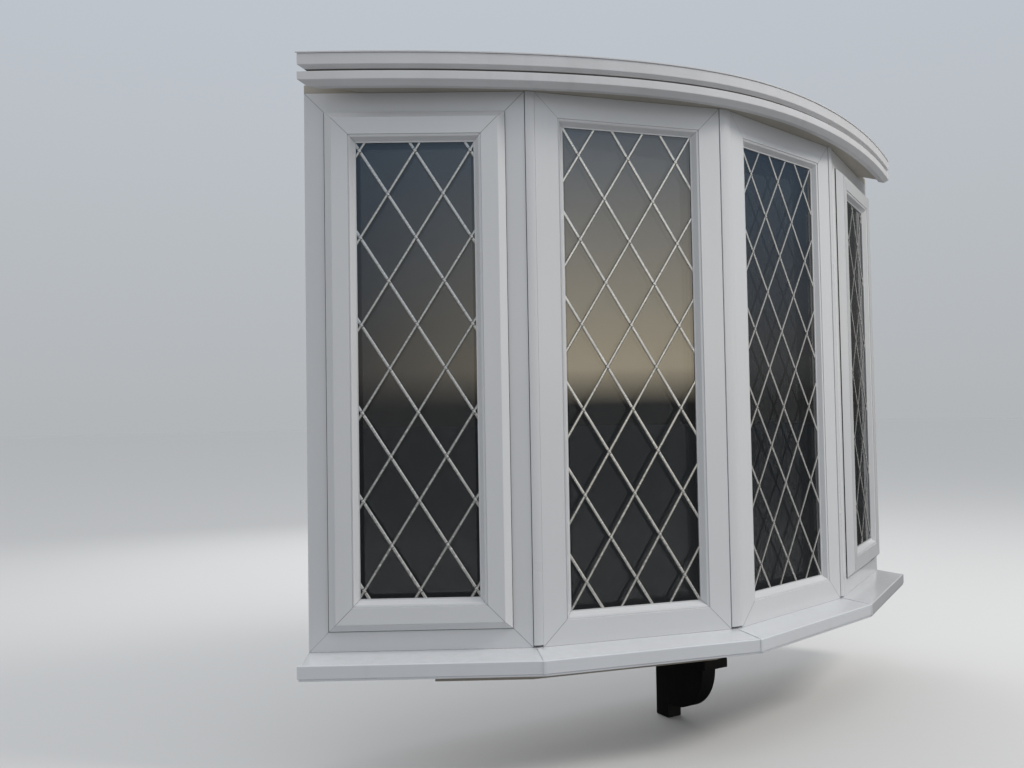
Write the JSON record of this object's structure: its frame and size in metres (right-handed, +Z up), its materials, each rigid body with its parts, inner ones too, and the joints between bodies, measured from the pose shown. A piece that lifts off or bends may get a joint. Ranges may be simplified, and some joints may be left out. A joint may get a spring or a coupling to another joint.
{
  "type": "bow window with leaded lights",
  "caption": "White bow window of leaded, double-glazed lights with casements at its ends, a moulded curved cornice, a projecting cill and a wall bracket below.",
  "frame": {"origin": "centre of the bracket's back face, on the plane of the wall's outer face", "axes": "+X along the wall to the right seen from outside, +Y into the wall, +Z up; the window looks towards -Y"},
  "size_m": [1.9132, 0.5012, 1.549],
  "materials": {
    "white_upvc": "smooth white window profile, slight gloss",
    "white_bead": "smooth white glazing bead",
    "white_cill": "smooth white cill, weathered a little",
    "clear_glass": "clear float glass",
    "lead_strip": "dull silver lead strip with small solder joints",
    "black_spacer": "black spacer bar and sealant",
    "black_rubber": "black weather seal",
    "handle_white": "white enamelled lever handle",
    "white_paint": "timber moulding in white gloss paint, slightly weathered",
    "soffit_paint": "board in aged off-white paint",
    "black_paint": "timber in black gloss paint",
    "board_gloss": "window board in white satin paint",
    "roof_sheet": "grey weathering sheet",
    "plain_timber": "plain sawn timber and plywood"
  },
  "bodies": {
    "root": {"base_board": "plain_timber", "base_core": "plain_timber", "base_soffit": "plain_timber", "beads_1": "white_bead", "beads_2": "white_bead", "beads_3": "white_bead", "beads_4": "white_bead", "bracket": "black_paint", "bracket_plate": "black_paint", "casement_handles": "handle_white", "cill_1": "white_cill", "cill_2": "white_cill", "cill_3": "white_cill", "cill_4": "white_cill", "cill_joint_covers": "white_cill", "corner_post_1": "white_upvc", "corner_post_2": "white_upvc", "corner_post_3": "white_upvc", "cornice_lower": "white_paint", "cornice_upper": "white_paint", "cover_strips": "white_upvc", "frame_1": "white_upvc", "frame_2": "white_upvc", "frame_3": "white_upvc", "frame_4": "white_upvc", "glass_1": "clear_glass", "glass_2": "clear_glass", "glass_3": "clear_glass", "glass_4": "clear_glass", "head_board": "plain_timber", "leads_1": "lead_strip", "leads_2": "lead_strip", "leads_3": "lead_strip", "leads_4": "lead_strip", "roof_cover": "roof_sheet", "roof_deck": "plain_timber", "roof_joists": "plain_timber", "sash_1": "white_upvc", "sash_4": "white_upvc", "sash_seals": "black_rubber", "soffit": "soffit_paint", "spacers": "black_spacer", "window_board": "board_gloss"}
  },
  "joints": []
}
